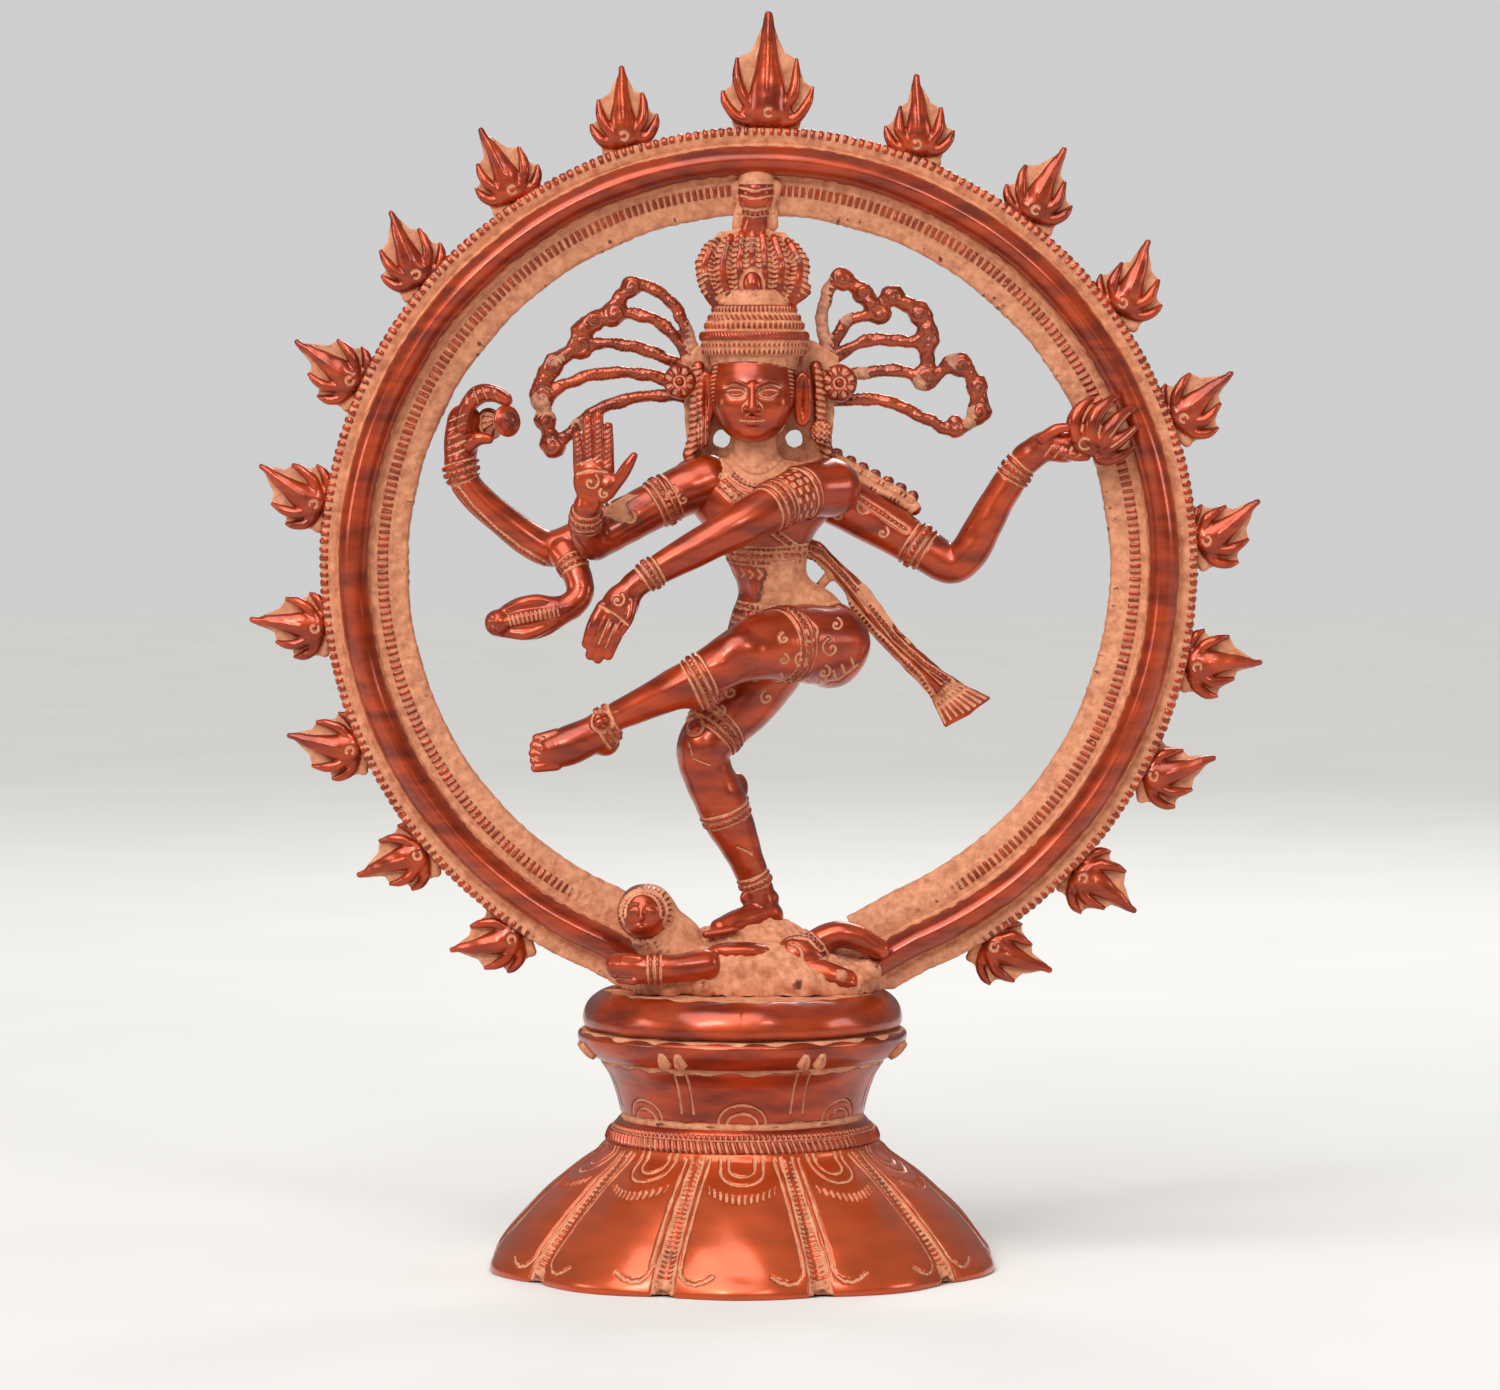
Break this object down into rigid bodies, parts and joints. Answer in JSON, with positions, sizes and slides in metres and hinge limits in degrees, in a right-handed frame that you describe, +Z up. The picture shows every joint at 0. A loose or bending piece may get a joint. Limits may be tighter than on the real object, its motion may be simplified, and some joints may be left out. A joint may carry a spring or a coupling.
{
  "type": "dancing shiva statue",
  "caption": "Cast brass statue of a dancing four-armed figure inside a ring of flames, on a hollow lotus pedestal, with a copper-red lacquered finish.",
  "frame": {"origin": "on the table plane under the middle of the whole statue's bounding box, which is also under the arch's centre", "axes": "+Z up, the figure faces -Y, +X toward the viewer's right"},
  "size_m": [0.3009, 0.151, 0.3765],
  "materials": {
    "red_lacquered_brass": "cast brass, burnished and coated with a transparent copper-red lacquer",
    "patinated_brass": "cast brass with a matt salmon-tan patina left in the hollows and red lacquer on the high spots",
    "dark_lacquered_brass": "cast brass under a thick dark maroon lacquer",
    "steel_fixings": "plain zinc-plated steel"
  },
  "bodies": {
    "root": {"lotus_skirt": "red_lacquered_brass", "rope_collar": "patinated_brass", "waist_drum": "red_lacquered_brass", "bead_lip": "red_lacquered_brass", "cushion_plinth": "red_lacquered_brass", "arch_bolts": "steel_fixings", "arch_washers": "steel_fixings", "arch_ring": "patinated_brass", "crest_flame": "red_lacquered_brass", "left_flames": "red_lacquered_brass", "right_flames": "red_lacquered_brass", "rock_mound": "patinated_brass", "dwarf": "red_lacquered_brass", "torso": "red_lacquered_brass", "nape_plate": "patinated_brass", "head": "red_lacquered_brass", "crown_fan": "patinated_brass", "crown_post": "red_lacquered_brass", "left_hair": "dark_lacquered_brass", "right_hair": "dark_lacquered_brass", "ear_ornaments": "patinated_brass", "front_right_arm": "red_lacquered_brass", "front_left_arm": "red_lacquered_brass", "rear_right_arm": "red_lacquered_brass", "rear_left_arm": "red_lacquered_brass", "hand_drum": "red_lacquered_brass", "hand_flame": "red_lacquered_brass", "cobra": "red_lacquered_brass", "scarf": "patinated_brass", "sash": "patinated_brass", "raised_leg": "red_lacquered_brass", "standing_leg": "red_lacquered_brass"}
  },
  "joints": []
}
